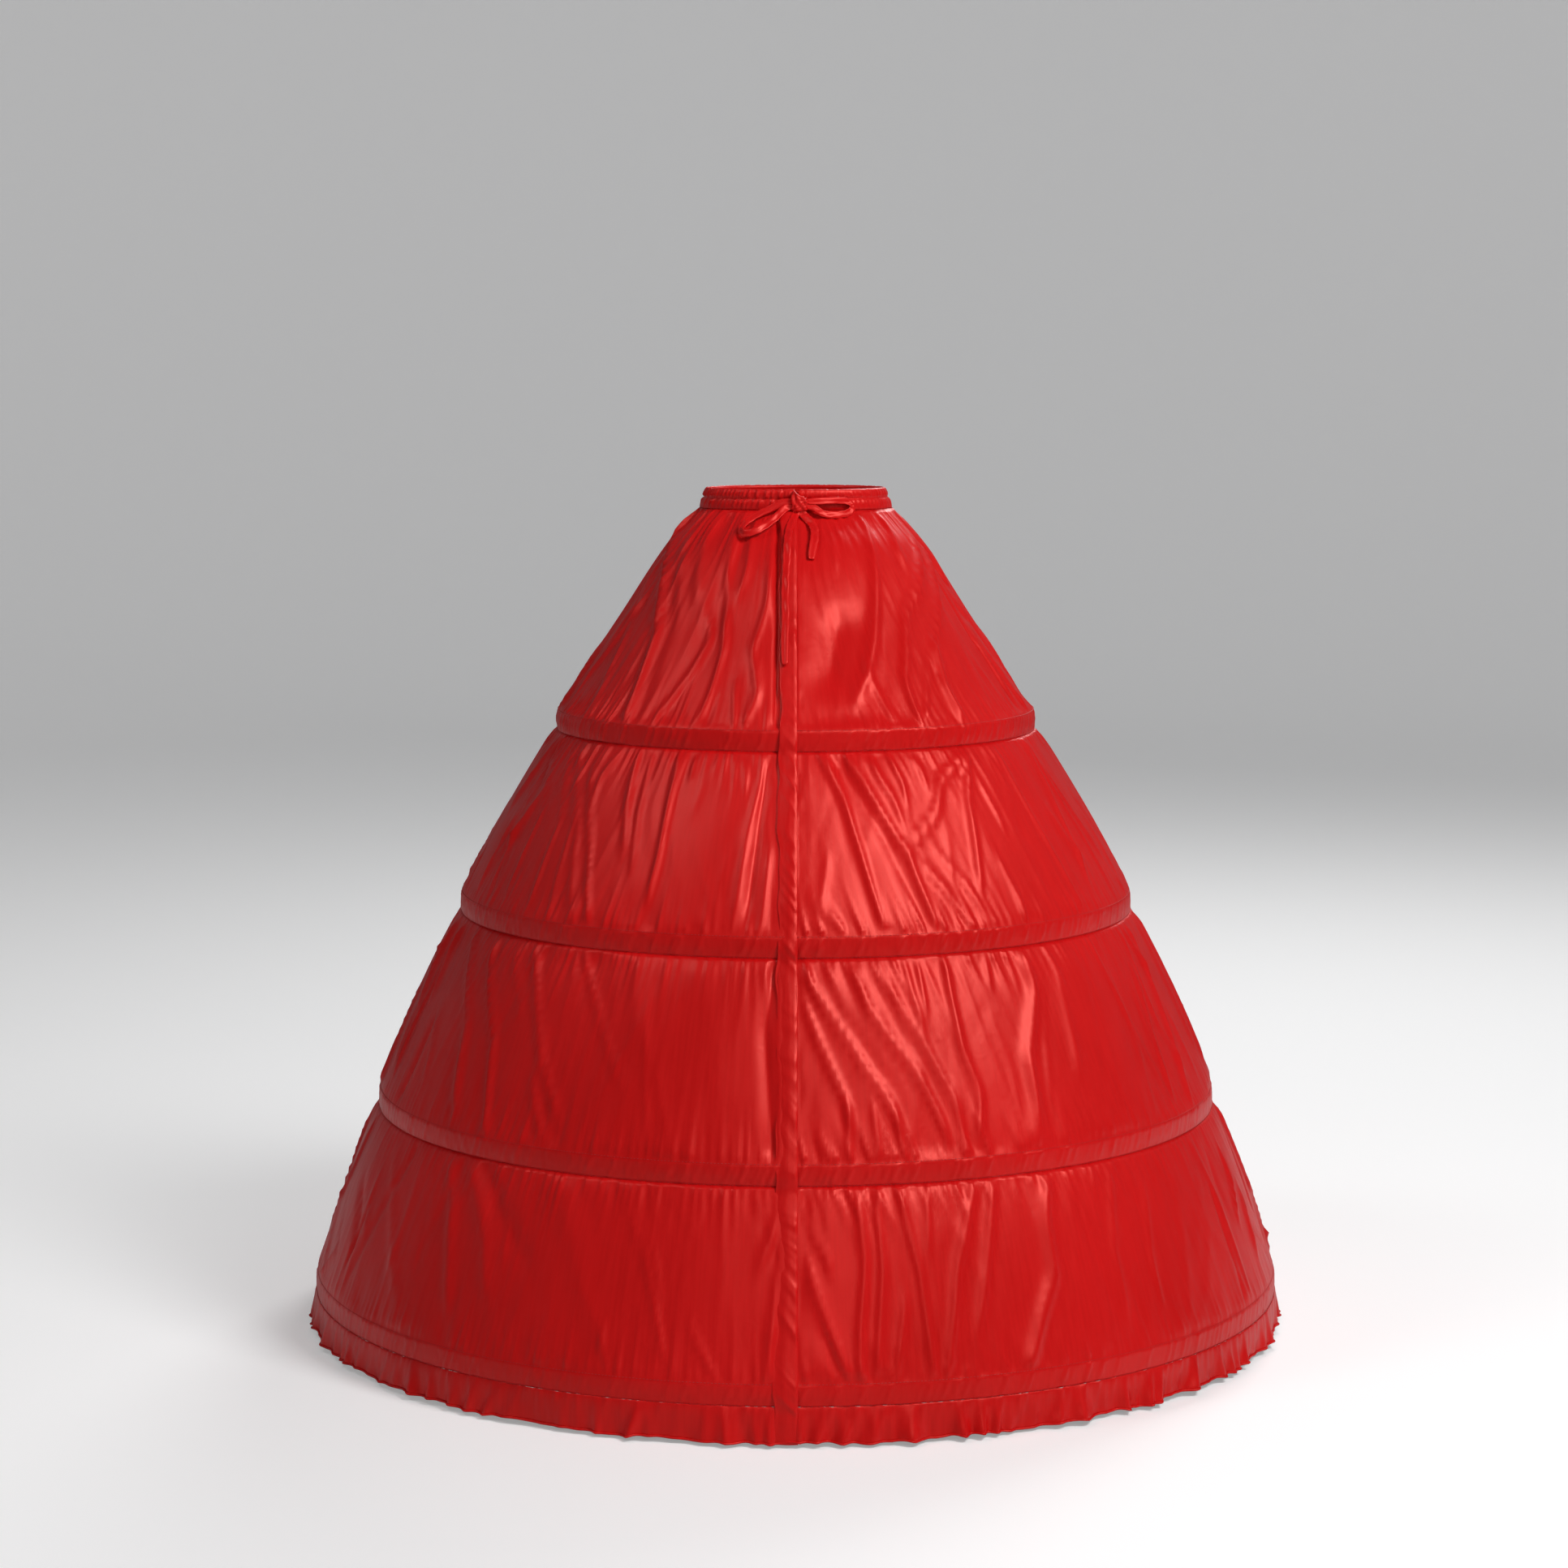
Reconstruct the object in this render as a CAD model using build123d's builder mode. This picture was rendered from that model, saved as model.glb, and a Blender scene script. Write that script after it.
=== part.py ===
from build123d import *
from math import cos, degrees, pi, sin, tan
import os

# A four-hoop petticoat (crinoline) of satin cloth, in millimetres.
# The origin is the middle of the waist opening, level with the top of the
# waistband.  +Z is up, -Y is the centre back where the drawstring is tied,
# +X is to the right of the centre back, and everything hangs below the origin.

# Hoops: radius of the middle of each strip, and how far its middle hangs
# below the top of the waistband.
hoop_radius_1 = 286
hoop_radius_2 = 403
hoop_radius_3 = 504
hoop_radius_4 = 582
hoop_drop_1 = 276
hoop_drop_2 = 494
hoop_drop_3 = 729
hoop_drop_4 = 953
strip_height = 10
strip_thickness = 1.6

# Sleeve that joins the two ends of each strip, beside the centre back.
sleeve_wall = 0.5
sleeve_length = 36
sleeve_offset = 27
strip_end_gap = 1.5

# Cloth of the tiers, and the tuck under each hoop down to the lower stitches.
cloth = 0.8
tuck_height = 8

# Waist: an oval band with a tunnel in its upper half for the drawstring.
waist_half_width = 107.5
waist_half_depth = 85
waistband_height = 25
waistband_cloth = 1.2
waistband_sides = 44
tunnel_top_margin = 1.5
drawstring_width = 10
drawstring_thickness = 1.4

# The seam and the band's opening lie a little to the right of the centre back.
seam_offset = 1
back_gap = 5

# Gathers: the number of folds round each tier, and how far a crest stands out
# of the mean line where the folds are deepest.
fold_count_1 = 24
fold_count_2 = 20
fold_count_3 = 20
fold_count_4 = 20
fold_swing_1 = 5
fold_swing_2 = 5
fold_swing_3 = 5.5
fold_swing_4 = 6
gather_swing = 1.5
tier_crown = 5

# The first tier's shoulder, where its gathers spring from under the waistband.
shoulder_drop = 60
shoulder_half_width = 149
shoulder_half_depth = 130

# Ruffle below the stitches under the lowest hoop.
ruffle_height = 40
ruffle_flare = 8
ruffle_folds = 34
ruffle_swing = 6

# Folded placket down the centre back, lapped over to the left of the seam.
placket_width = 22
placket_thickness = 2

# Drawstring bow: the tie is a narrow strip of folded cloth.
tie_width = 6
tie_thickness = 3
knot_width = 17
knot_height = 15
knot_depth = 11
knot_shift = 3
knot_middle_drop = 17
knot_edge = 1.5
knot_stand_off = 1.5

hoop_radii = [hoop_radius_1, hoop_radius_2, hoop_radius_3, hoop_radius_4]
hoop_drops = [hoop_drop_1, hoop_drop_2, hoop_drop_3, hoop_drop_4]
folds = [fold_count_1, fold_count_2, fold_count_3, fold_count_4]
fold_swings = [fold_swing_1, fold_swing_2, fold_swing_3, fold_swing_4]

# A strip lies in its channel with the sleeve's wall to spare all round.
channel_half = strip_thickness / 2 + sleeve_wall
channel_half_height = strip_height / 2 + sleeve_wall

# Each fold of cloth has one sharp crest and two points in the broad valley.
points_in_a_fold = 3

# Each tier is sewn from four widths of cloth, with seams at the centre back,
# the sides and the centre front.
panel_names = ["back_right", "front_right", "front_left", "back_left"]

os.makedirs("parts", exist_ok=True)


def write(part, name):
    part.label = name
    export_step(part, f"parts/{name}.step")
    print(name, "valid" if part.is_valid else "NOT VALID", round(part.volume), "mm3")


def ring(drop, half_depth, half_width, count, swing=0):
    """Corners of a ring of cloth this far down, from a crest at the centre back towards the right.

    The folds drift to and fro and differ in depth, as gathers do. With no
    swing the corners are even.
    """
    corners = points_in_a_fold * count
    points = []
    for step in range(corners):
        even_turn = 2 * pi * step / corners
        drift = 0.4 * pi / count * sin(4 * even_turn) if swing else 0
        depth = (1 + 0.3 * cos(3 * even_turn)) / 1.3
        reach = swing * depth * cos(2 * pi * step / points_in_a_fold)
        turn = even_turn + drift
        points.append(Vector((half_width + reach) * sin(turn), -(half_depth + reach) * cos(turn), -drop))
    return points


def cloth_wall(levels, count, thickness=cloth, quarter=None):
    """Tube of crisp cloth in flat creased facets, or one quarter of it.

    Each level is (drop, half depth and half width of the inner face, swing).
    Both faces are creased along the same diagonals, so the cloth is equally
    thick all over.
    """
    corners_round = points_in_a_fold * count
    if quarter is None:
        steps = list(range(corners_round)) + [0]
    else:
        first = quarter * corners_round // 4
        steps = [step % corners_round for step in range(first, first + corners_round // 4 + 1)]
    inside, outside = [], []
    for drop, deep, wide, swing in levels:
        inner = ring(drop, deep, wide, count, swing)
        outer = ring(drop, deep + thickness, wide + thickness, count, swing)
        inside.append([inner[step] for step in steps])
        outside.append([outer[step] for step in steps])
    circuit = outside + inside[::-1] + outside[:1]
    facets = []
    for near, far in zip(circuit, circuit[1:]):
        rising = far[0].Z > near[0].Z
        for here in range(len(near) - 1):
            if rising:
                corners = [near[here + 1], far[here + 1], far[here], near[here]]
            else:
                corners = [near[here], near[here + 1], far[here + 1], far[here]]
            facets.append(Face(Wire.make_polygon([corners[0], corners[1], corners[2]])))
            facets.append(Face(Wire.make_polygon([corners[0], corners[2], corners[3]])))
    if quarter is not None:
        facets.append(Face(Wire.make_polygon([level[0] for level in circuit[:-1]])))
        facets.append(Face(Wire.make_polygon([level[-1] for level in circuit[:-1]])))
    return Solid(Shell(facets))


def clear_of(radius, count):
    """Corner radius of a ring of cloth whose flats just touch a circle of this radius from outside."""
    return radius / cos(pi / (points_in_a_fold * count))


def stitch_level(number):
    """Drop and inner corner radius of the cloth at the stitches under a hoop."""
    return hoop_drops[number] + channel_half_height + tuck_height, hoop_radii[number] - channel_half


def tier_levels(number):
    """Levels of a tier: its start, its deep folds, over its hoop and in to the stitches below."""
    over_hoop = clear_of(hoop_radii[number] + channel_half, folds[number])
    hoop_top = hoop_drops[number] - channel_half_height
    hoop_foot = hoop_drops[number] + channel_half_height
    swing = fold_swings[number]
    if number == 0:
        inset = (waistband_thickness + cloth) / 2
        middle_half_depth = (shoulder_half_depth + over_hoop) / 2
        middle_half_width = (shoulder_half_width + over_hoop) / 2
        upper = [
            (waistband_height, waist_half_depth - inset, waist_half_width - inset, gather_swing),
            (shoulder_drop, shoulder_half_depth, shoulder_half_width, swing),
            ((shoulder_drop + hoop_top) / 2, middle_half_depth, middle_half_width, swing),
        ]
    else:
        start_drop, start_radius = stitch_level(number - 1)
        crown_radius = (start_radius + over_hoop) / 2 + tier_crown
        upper = [
            (start_drop, start_radius, start_radius, 0),
            ((start_drop + hoop_top) / 2, crown_radius, crown_radius, swing),
        ]
    end_drop, end_radius = stitch_level(number)
    lower = [
        (hoop_top, over_hoop, over_hoop, 0),
        (hoop_foot, over_hoop, over_hoop, 0),
        (end_drop, end_radius, end_radius, 0),
    ]
    return upper + lower


# Waistband: two layers of cloth, sewn flat in the lower half, with the
# drawstring's tunnel above.  It is open at the seam.
waistband_thickness = 2 * waistband_cloth + drawstring_thickness
tunnel_bottom = tunnel_top_margin + drawstring_width


def oval(drop, inset, thickness):
    """Oval ring this far inside the waistband's outer face."""
    with BuildSketch(Plane.XY.offset(-drop)) as band:
        for extra, mode in ((0, Mode.ADD), (thickness, Mode.SUBTRACT)):
            half_depth = waist_half_depth - inset - extra
            half_width = waist_half_width - inset - extra
            with BuildLine():
                turns = [2 * pi * side / waistband_sides for side in range(waistband_sides)]
                Polyline(*[(half_width * sin(turn), half_depth * cos(turn)) for turn in turns], close=True)
            make_face(mode=mode)
    return band.sketch


def gap_at_seam(drop):
    """Rectangle across the band at the seam, as wide as the opening."""
    with BuildSketch(Plane.XY.offset(-drop)) as opening:
        with Locations((seam_offset, -waist_half_depth)):
            Rectangle(back_gap, 4 * waistband_thickness)
    return opening.sketch


with BuildPart() as waistband:
    extrude(oval(waistband_height, 0, waistband_thickness), amount=waistband_height)
    extrude(
        oval(tunnel_bottom, waistband_cloth, drawstring_thickness),
        amount=drawstring_width,
        mode=Mode.SUBTRACT,
    )
    extrude(gap_at_seam(waistband_height), amount=waistband_height, mode=Mode.SUBTRACT)
write(waistband.part, "waistband")

# The part of the drawstring inside the tunnel.  Its ends turn out through the
# opening and reach the back of the knot.
knot_back = waist_half_depth + knot_stand_off
with BuildPart() as drawstring_run:
    extrude(oval(tunnel_bottom, waistband_cloth, drawstring_thickness), amount=drawstring_width)
    extrude(gap_at_seam(tunnel_bottom), amount=drawstring_width, mode=Mode.SUBTRACT)
    with BuildSketch(Plane.XY.offset(-tunnel_bottom)):
        end_inside = waist_half_depth - waistband_cloth - drawstring_thickness
        end_middle = -(end_inside + knot_back) / 2
        for side in (-1, 1):
            end_x = seam_offset + side * (back_gap - drawstring_thickness) / 2
            with Locations((end_x, end_middle)):
                Rectangle(drawstring_thickness, knot_back - end_inside)
    extrude(amount=drawstring_width)
write(drawstring_run.part, "drawstring_run")

# Tiers: each starts at the stitches under the hoop above, swells over its
# folds, passes over its own hoop and is tucked in to the stitches below.
for number in range(4):
    for quarter, panel_name in enumerate(panel_names):
        with BuildPart() as panel:
            add(cloth_wall(tier_levels(number), folds[number], quarter=quarter), clean=False)
        write(panel.part, f"tier_{number + 1}_{panel_name}")

# Casings: a straight tape inside each hoop, sewn to the tier above the hoop
# and at the stitches below it, so that the hoop lies in a channel.
for number in range(4):
    crown_drop, crown_half_depth, _, swing = tier_levels(number)[-4]
    hoop_top, over_hoop, _, _ = tier_levels(number)[-3]
    end_drop, tape_radius = stitch_level(number)
    steepness = (over_hoop - crown_half_depth + swing) / (hoop_top - crown_drop)
    tape_top = hoop_top - (over_hoop - tape_radius) / steepness
    tape_inside = tape_radius - cloth
    with BuildPart() as casing:
        add(
            cloth_wall(
                [(tape_top, tape_inside, tape_inside, 0), (end_drop, tape_inside, tape_inside, 0)],
                folds[number],
            ),
            clean=False,
        )
    write(casing.part, f"casing_{number + 1}")

# Hoops: flat strips bent round, with their ends butted in a sleeve.
for number in range(4):
    radius = hoop_radii[number]
    sleeve_turn = degrees(sleeve_offset / radius)
    sleeve_sweep = degrees(sleeve_length / radius)
    gap_sweep = degrees(strip_end_gap / radius)
    with BuildPart() as hoop:
        with BuildSketch(Plane.XZ):
            with Locations((radius, -hoop_drops[number])):
                Rectangle(strip_thickness, strip_height)
        revolve(axis=Axis.Z, revolution_arc=360 - gap_sweep)
    write(hoop.part.rotate(Axis.Z, sleeve_turn - 90 + gap_sweep / 2), f"hoop_{number + 1}")

    with BuildPart() as sleeve:
        with BuildSketch(Plane.XZ):
            with Locations((radius, -hoop_drops[number])):
                Rectangle(2 * channel_half, 2 * channel_half_height)
                Rectangle(strip_thickness, strip_height, mode=Mode.SUBTRACT)
        revolve(axis=Axis.Z, revolution_arc=sleeve_sweep)
    write(sleeve.part.rotate(Axis.Z, sleeve_turn - 90 - sleeve_sweep / 2), f"hoop_sleeve_{number + 1}")

# Ruffle: sewn on at the stitches under the lowest hoop, opening into folds at
# the hem.
ruffle_drop, ruffle_radius = stitch_level(3)
hem_drop = ruffle_drop + ruffle_height
ruffle_levels = [
    (ruffle_drop, ruffle_radius, ruffle_radius, 0),
    (hem_drop, ruffle_radius + ruffle_flare, ruffle_radius + ruffle_flare, ruffle_swing),
]
with BuildPart() as hem_ruffle:
    add(cloth_wall(ruffle_levels, ruffle_folds), clean=False)
write(hem_ruffle.part, "hem_ruffle")

# Placket: a flat fold of cloth down the back, lying on the crests of the
# folds and bridging the tucks under the hoops.
back_line = []
for number in range(4):
    for drop, half_depth, _, swing in tier_levels(number)[:-1]:
        if number == 0 or drop != stitch_level(number - 1)[0]:
            back_line.append((-(half_depth + cloth + swing), -drop))
back_line.append((-(ruffle_radius + ruffle_flare + cloth + ruffle_swing), -hem_drop))
with BuildPart() as back_placket:
    with BuildSketch(Plane.YZ.offset(seam_offset - placket_width)):
        with BuildLine():
            outer_line = [(across - placket_thickness, up) for across, up in back_line]
            Polyline(*back_line, *outer_line[::-1], close=True)
        make_face()
    extrude(amount=placket_width)
write(back_placket.part, "back_placket")

# Knot of the drawstring, in front of the opening.
knot_x = seam_offset + knot_shift
with BuildPart() as drawstring_knot:
    with BuildSketch(Plane.XY.offset(-knot_middle_drop - knot_height / 2)):
        with Locations((knot_x, -knot_back - knot_depth / 2)):
            Rectangle(knot_width, knot_depth)
    extrude(amount=knot_height)
    chamfer(drawstring_knot.edges(), knot_edge)
write(drawstring_knot.part, "drawstring_knot")


def tie_along(name, points, across):
    """Strip of folded cloth: straight runs joined by arcs as large as the runs allow.

    It leaves the knot with its width in the direction across.
    """
    route = [Vector(point) for point in points]
    radii = []
    for before, corner, after in zip(route, route[1:], route[2:]):
        shorter = min((corner - before).length, (after - corner).length)
        turn = (corner - before).get_angle(after - corner)
        radii.append(0.45 * shorter / tan(pi * turn / 360))
    print(name, "radii", [round(radius, 1) for radius in radii])
    with BuildPart() as cord:
        with BuildLine() as path:
            FilletPolyline(*route, radius=radii)
        with BuildSketch(Plane(origin=path.line @ 0, x_dir=across, z_dir=path.line % 0)) as section:
            Rectangle(tie_width, tie_thickness)
        sweep()
    length = path.wire().length
    print(name, "length", round(length), "volume over area", round(cord.part.volume / section.sketch.area))
    write(cord.part, name)


# The bow: two loops that leave the knot and come back to it, and two tails
# that hang down over the placket and the gathers.
knot_left = knot_x - knot_width / 2
knot_right = knot_x + knot_width / 2
knot_foot = -knot_middle_drop - knot_height / 2
tie_along(
    "bow_loop_left",
    [
        (knot_left, -92, -13.9),
        (-13, -92, -13.9),
        (-28, -91, -22),
        (-47, -93.5, -30),
        (-60, -101, -38.5),
        (-65.5, -109.5, -46.5),
        (-61, -119, -51.5),
        (-45, -121, -46.5),
        (-29, -108.5, -37),
        (-17, -99.5, -25.5),
        (-11, -93, -20.1),
        (knot_left, -93, -20.1),
    ],
    across=(0, 0, 1),
)
tie_along(
    "bow_loop_right",
    [
        (knot_right, -92, -13.9),
        (23, -92, -13.9),
        (43, -86.5, -12.8),
        (60, -78, -13.3),
        (66.5, -75, -18),
        (67, -77.5, -24.5),
        (60, -84, -28.8),
        (44, -92, -30.5),
        (30, -96, -28),
        (21, -92.5, -20.1),
        (knot_right, -92.5, -20.1),
    ],
    across=(0, 0, 1),
)
tie_along(
    "bow_tail_left",
    [
        (0.5, -94.4, knot_foot),
        (0.5, -94.4, -28),
        (-2.2, -101.6, -32.2),
        (-5.5, -110.7, -38),
        (-8.5, -124.2, -47),
        (-10.3, -144, -60),
        (-11, -155.4, -78.5),
        (-12.2, -169.3, -97.5),
        (-13, -187.4, -122),
        (-12, -205.5, -146.5),
        (-13.8, -223.2, -170.5),
        (-13, -240.5, -194.5),
    ],
    across=(1, 0, 0),
)
tie_along(
    "bow_tail_right",
    [
        (7.5, -94, knot_foot),
        (7.5, -94, -28.5),
        (12.5, -97.5, -33),
        (18, -104, -38.5),
        (22, -114, -45.5),
        (22, -127, -55),
        (19.3, -138, -66.5),
        (17.8, -147.5, -79),
    ],
    across=(1, 0, 0),
)
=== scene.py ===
import bpy
import numpy as np
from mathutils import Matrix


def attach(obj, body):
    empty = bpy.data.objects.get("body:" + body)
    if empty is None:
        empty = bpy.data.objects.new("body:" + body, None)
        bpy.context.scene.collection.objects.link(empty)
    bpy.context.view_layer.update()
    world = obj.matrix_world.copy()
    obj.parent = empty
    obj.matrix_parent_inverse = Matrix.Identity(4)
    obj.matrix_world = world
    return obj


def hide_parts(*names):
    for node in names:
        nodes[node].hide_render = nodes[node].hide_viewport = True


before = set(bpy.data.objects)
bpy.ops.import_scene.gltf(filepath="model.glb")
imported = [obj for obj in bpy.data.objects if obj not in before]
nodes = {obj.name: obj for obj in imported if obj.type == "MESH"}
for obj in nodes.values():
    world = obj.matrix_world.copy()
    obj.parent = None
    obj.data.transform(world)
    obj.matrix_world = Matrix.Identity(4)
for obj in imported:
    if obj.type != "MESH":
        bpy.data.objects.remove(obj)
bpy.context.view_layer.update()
bpy.ops.object.select_all(action="DESELECT")
MM = 0.001
print("solids in the frame:", len(nodes))

# %% [markdown]
# The camera stands 4.5 m behind the wearer's back, a little above the waist,
# and looks down by 6.6 degrees. A long lens keeps the hoops' ellipses shallow.
# %% Camera
CAMERA_PLACE = (-0.0141, -4.502, 0.162)
CAMERA_DOWN = 6.607
LENS = 85.85

bpy.ops.object.camera_add(
    location=CAMERA_PLACE, rotation=(np.radians(90 - CAMERA_DOWN), 0, 0)
)
camera = bpy.context.object
camera.name = "camera"
camera.data.lens = LENS
camera.data.sensor_width = 36
camera.data.clip_end = 60
bpy.context.scene.camera = camera
print("camera at", CAMERA_PLACE)

# %% [markdown]
# Every piece of cloth starts as a flat grid, like cloth on the cutting table,
# and each of its points is then put in place by a rule. The grid's UV map is
# stretched to the cloth's real size in metres, so that one weave fits all.
# %% Helpers for cloth
def smooth_step(x):
    """0 below 0, 1 above 1 and an S-curve between."""
    x = np.clip(x, 0, 1)
    return x * x * (3 - 2 * x)


def flat_cloth(name, across, down, width, length):
    """Grid of cells with its UVs in metres; gives it and each point's share across and down."""
    bpy.ops.object.select_all(action="DESELECT")
    bpy.ops.mesh.primitive_grid_add(
        x_subdivisions=across, y_subdivisions=down, size=2, calc_uvs=True
    )
    cloth = bpy.context.object
    cloth.name = name
    cloth.data.name = name
    places = np.zeros(len(cloth.data.vertices) * 3)
    cloth.data.vertices.foreach_get("co", places)
    places = places.reshape(-1, 3)
    uvs = np.zeros(len(cloth.data.loops) * 2)
    layer = cloth.data.uv_layers.active.data
    layer.foreach_get("uv", uvs)
    uvs = uvs.reshape(-1, 2) * (width, length)
    layer.foreach_set("uv", uvs.ravel())
    return cloth, (places[:, 0] + 1) / 2, (1 - places[:, 1]) / 2


def put(cloth, points):
    """Moves each point of the mesh to its place."""
    cloth.data.vertices.foreach_set("co", np.asarray(points, float).ravel())
    cloth.data.update()


def sew_shut(cloth):
    """Merges the grid's two side edges where they meet, turns faces outwards and shades smooth."""
    bpy.ops.object.select_all(action="DESELECT")
    cloth.select_set(True)
    bpy.context.view_layer.objects.active = cloth
    bpy.ops.object.mode_set(mode="EDIT")
    bpy.ops.mesh.select_all(action="SELECT")
    bpy.ops.mesh.remove_doubles(threshold=1e-6)
    bpy.ops.mesh.normals_make_consistent(inside=False)
    bpy.ops.object.mode_set(mode="OBJECT")
    bpy.ops.object.shade_smooth()


def give_thickness(cloth, thickness):
    """Solidify inwards, applied."""
    wall = cloth.modifiers.new("thickness", "SOLIDIFY")
    wall.thickness = thickness
    wall.offset = -1
    wall.use_even_offset = False
    bpy.context.view_layer.objects.active = cloth
    bpy.ops.object.modifier_apply(modifier=wall.name)
    print(cloth.name, len(cloth.data.polygons), "faces")


def through(x, knots_x, knots_y):
    """Smooth curve through the knots that doesn't overshoot."""
    knots_x = np.asarray(knots_x, float)
    knots_y = np.asarray(knots_y, float)
    rise = np.diff(knots_y) / np.diff(knots_x)
    slope = np.concatenate([[rise[0]], (rise[1:] + rise[:-1]) / 2, [rise[-1]]])
    slope[1:-1][rise[1:] * rise[:-1] <= 0] = 0
    x = np.clip(x, knots_x[0], knots_x[-1])
    i = np.clip(np.searchsorted(knots_x, x) - 1, 0, len(rise) - 1)
    step = knots_x[i + 1] - knots_x[i]
    u = (x - knots_x[i]) / step
    return (
        knots_y[i] * (1 + 2 * u) * (1 - u) ** 2
        + knots_y[i + 1] * u * u * (3 - 2 * u)
        + step * slope[i] * u * (1 - u) ** 2
        - step * slope[i + 1] * u * u * (1 - u)
    )


# %% [markdown]
# The cloth is a light, shiny satin: red, with pale broad gleams where a fold
# faces a lamp. Its threads cross at 0.4 mm, the gleam is stretched along the
# weft, and slubs and fine creases keep it from looking like plastic.
# %% Satin
def add_node(tree, kind, **settings):
    node = tree.nodes.new(kind)
    for key, value in settings.items():
        if hasattr(node, key):
            setattr(node, key, value)
        else:
            node.inputs[key.replace("_", " ")].default_value = value
    return node


def satin(name, dark, light, roughness=0.34):
    """Woven satin with UVs in metres."""
    material = bpy.data.materials.new(name)
    material.use_nodes = True
    tree = material.node_tree
    surface = tree.nodes["Principled BSDF"]
    link = tree.links.new
    uv = tree.nodes.new("ShaderNodeUVMap")
    place = tree.nodes.new("ShaderNodeTexCoord")

    warp = add_node(tree, "ShaderNodeTexWave", bands_direction="X")
    warp.inputs["Scale"].default_value = 785
    weft = add_node(tree, "ShaderNodeTexWave", bands_direction="Y")
    weft.inputs["Scale"].default_value = 600
    weave = add_node(tree, "ShaderNodeMath", operation="MULTIPLY")
    link(uv.outputs["UV"], warp.inputs["Vector"])
    link(uv.outputs["UV"], weft.inputs["Vector"])
    link(warp.outputs["Fac"], weave.inputs[0])
    link(weft.outputs["Fac"], weave.inputs[1])

    stretch = tree.nodes.new("ShaderNodeMapping")
    stretch.inputs["Scale"].default_value = (260, 22, 1)
    slub = tree.nodes.new("ShaderNodeTexNoise")
    slub.inputs["Scale"].default_value = 1
    slub.inputs["Detail"].default_value = 3
    link(uv.outputs["UV"], stretch.inputs["Vector"])
    link(stretch.outputs["Vector"], slub.inputs["Vector"])

    creases = tree.nodes.new("ShaderNodeTexNoise")
    creases.inputs["Scale"].default_value = 55
    creases.inputs["Detail"].default_value = 4
    creases.inputs["Distortion"].default_value = 1.2
    link(place.outputs["Object"], creases.inputs["Vector"])

    tone = tree.nodes.new("ShaderNodeTexNoise")
    tone.inputs["Scale"].default_value = 4
    tone.inputs["Detail"].default_value = 2
    link(place.outputs["Object"], tone.inputs["Vector"])
    mixed = add_node(tree, "ShaderNodeMath", operation="MULTIPLY_ADD")
    link(slub.outputs["Fac"], mixed.inputs[0])
    mixed.inputs[1].default_value = 0.5
    link(tone.outputs["Fac"], mixed.inputs[2])
    colour = tree.nodes.new("ShaderNodeValToRGB")
    colour.color_ramp.elements[0].position = 0.45
    colour.color_ramp.elements[0].color = (*dark, 1)
    colour.color_ramp.elements[1].position = 1.0
    colour.color_ramp.elements[1].color = (*light, 1)
    link(mixed.outputs["Value"], colour.inputs["Fac"])
    link(colour.outputs["Color"], surface.inputs["Base Color"])

    gloss = tree.nodes.new("ShaderNodeMapRange")
    gloss.inputs["To Min"].default_value = roughness - 0.05
    gloss.inputs["To Max"].default_value = roughness + 0.06
    link(slub.outputs["Fac"], gloss.inputs["Value"])
    link(gloss.outputs["Result"], surface.inputs["Roughness"])

    fine = tree.nodes.new("ShaderNodeBump")
    fine.inputs["Strength"].default_value = 0.35
    fine.inputs["Distance"].default_value = 0.00006
    link(weave.outputs["Value"], fine.inputs["Height"])
    soft = tree.nodes.new("ShaderNodeBump")
    soft.inputs["Strength"].default_value = 0.35
    soft.inputs["Distance"].default_value = 0.0006
    link(creases.outputs["Fac"], soft.inputs["Height"])
    link(fine.outputs["Normal"], soft.inputs["Normal"])
    link(soft.outputs["Normal"], surface.inputs["Normal"])

    surface.inputs["Specular IOR Level"].default_value = 0.9
    surface.inputs["Specular Tint"].default_value = (1, 0.21, 0.17, 1)
    surface.inputs["Anisotropic"].default_value = 0.4
    return material


red_satin = satin("red_satin", (0.54, 0.0035, 0.004), (0.68, 0.007, 0.008))
print("material", red_satin.name)

# %% [markdown]
# The drawstring is the same satin, folded to a narrow tie. It leaves the knot
# as two loops and two tails. Each follows the route that the solid has, read
# from a smooth NURBS line, and is a folded strip that lies with its flat side
# outwards and has the groove of its fold along one side.
# %% Ties of the bow
TIE_WIDTH = {
    "bow_loop_left": 9.4,
    "bow_loop_right": 8.6,
    "bow_tail_left": 9.2,
    "bow_tail_right": 10.4,
}
TIE_THICKNESS = 3
TIE_ROUND = 14

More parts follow.
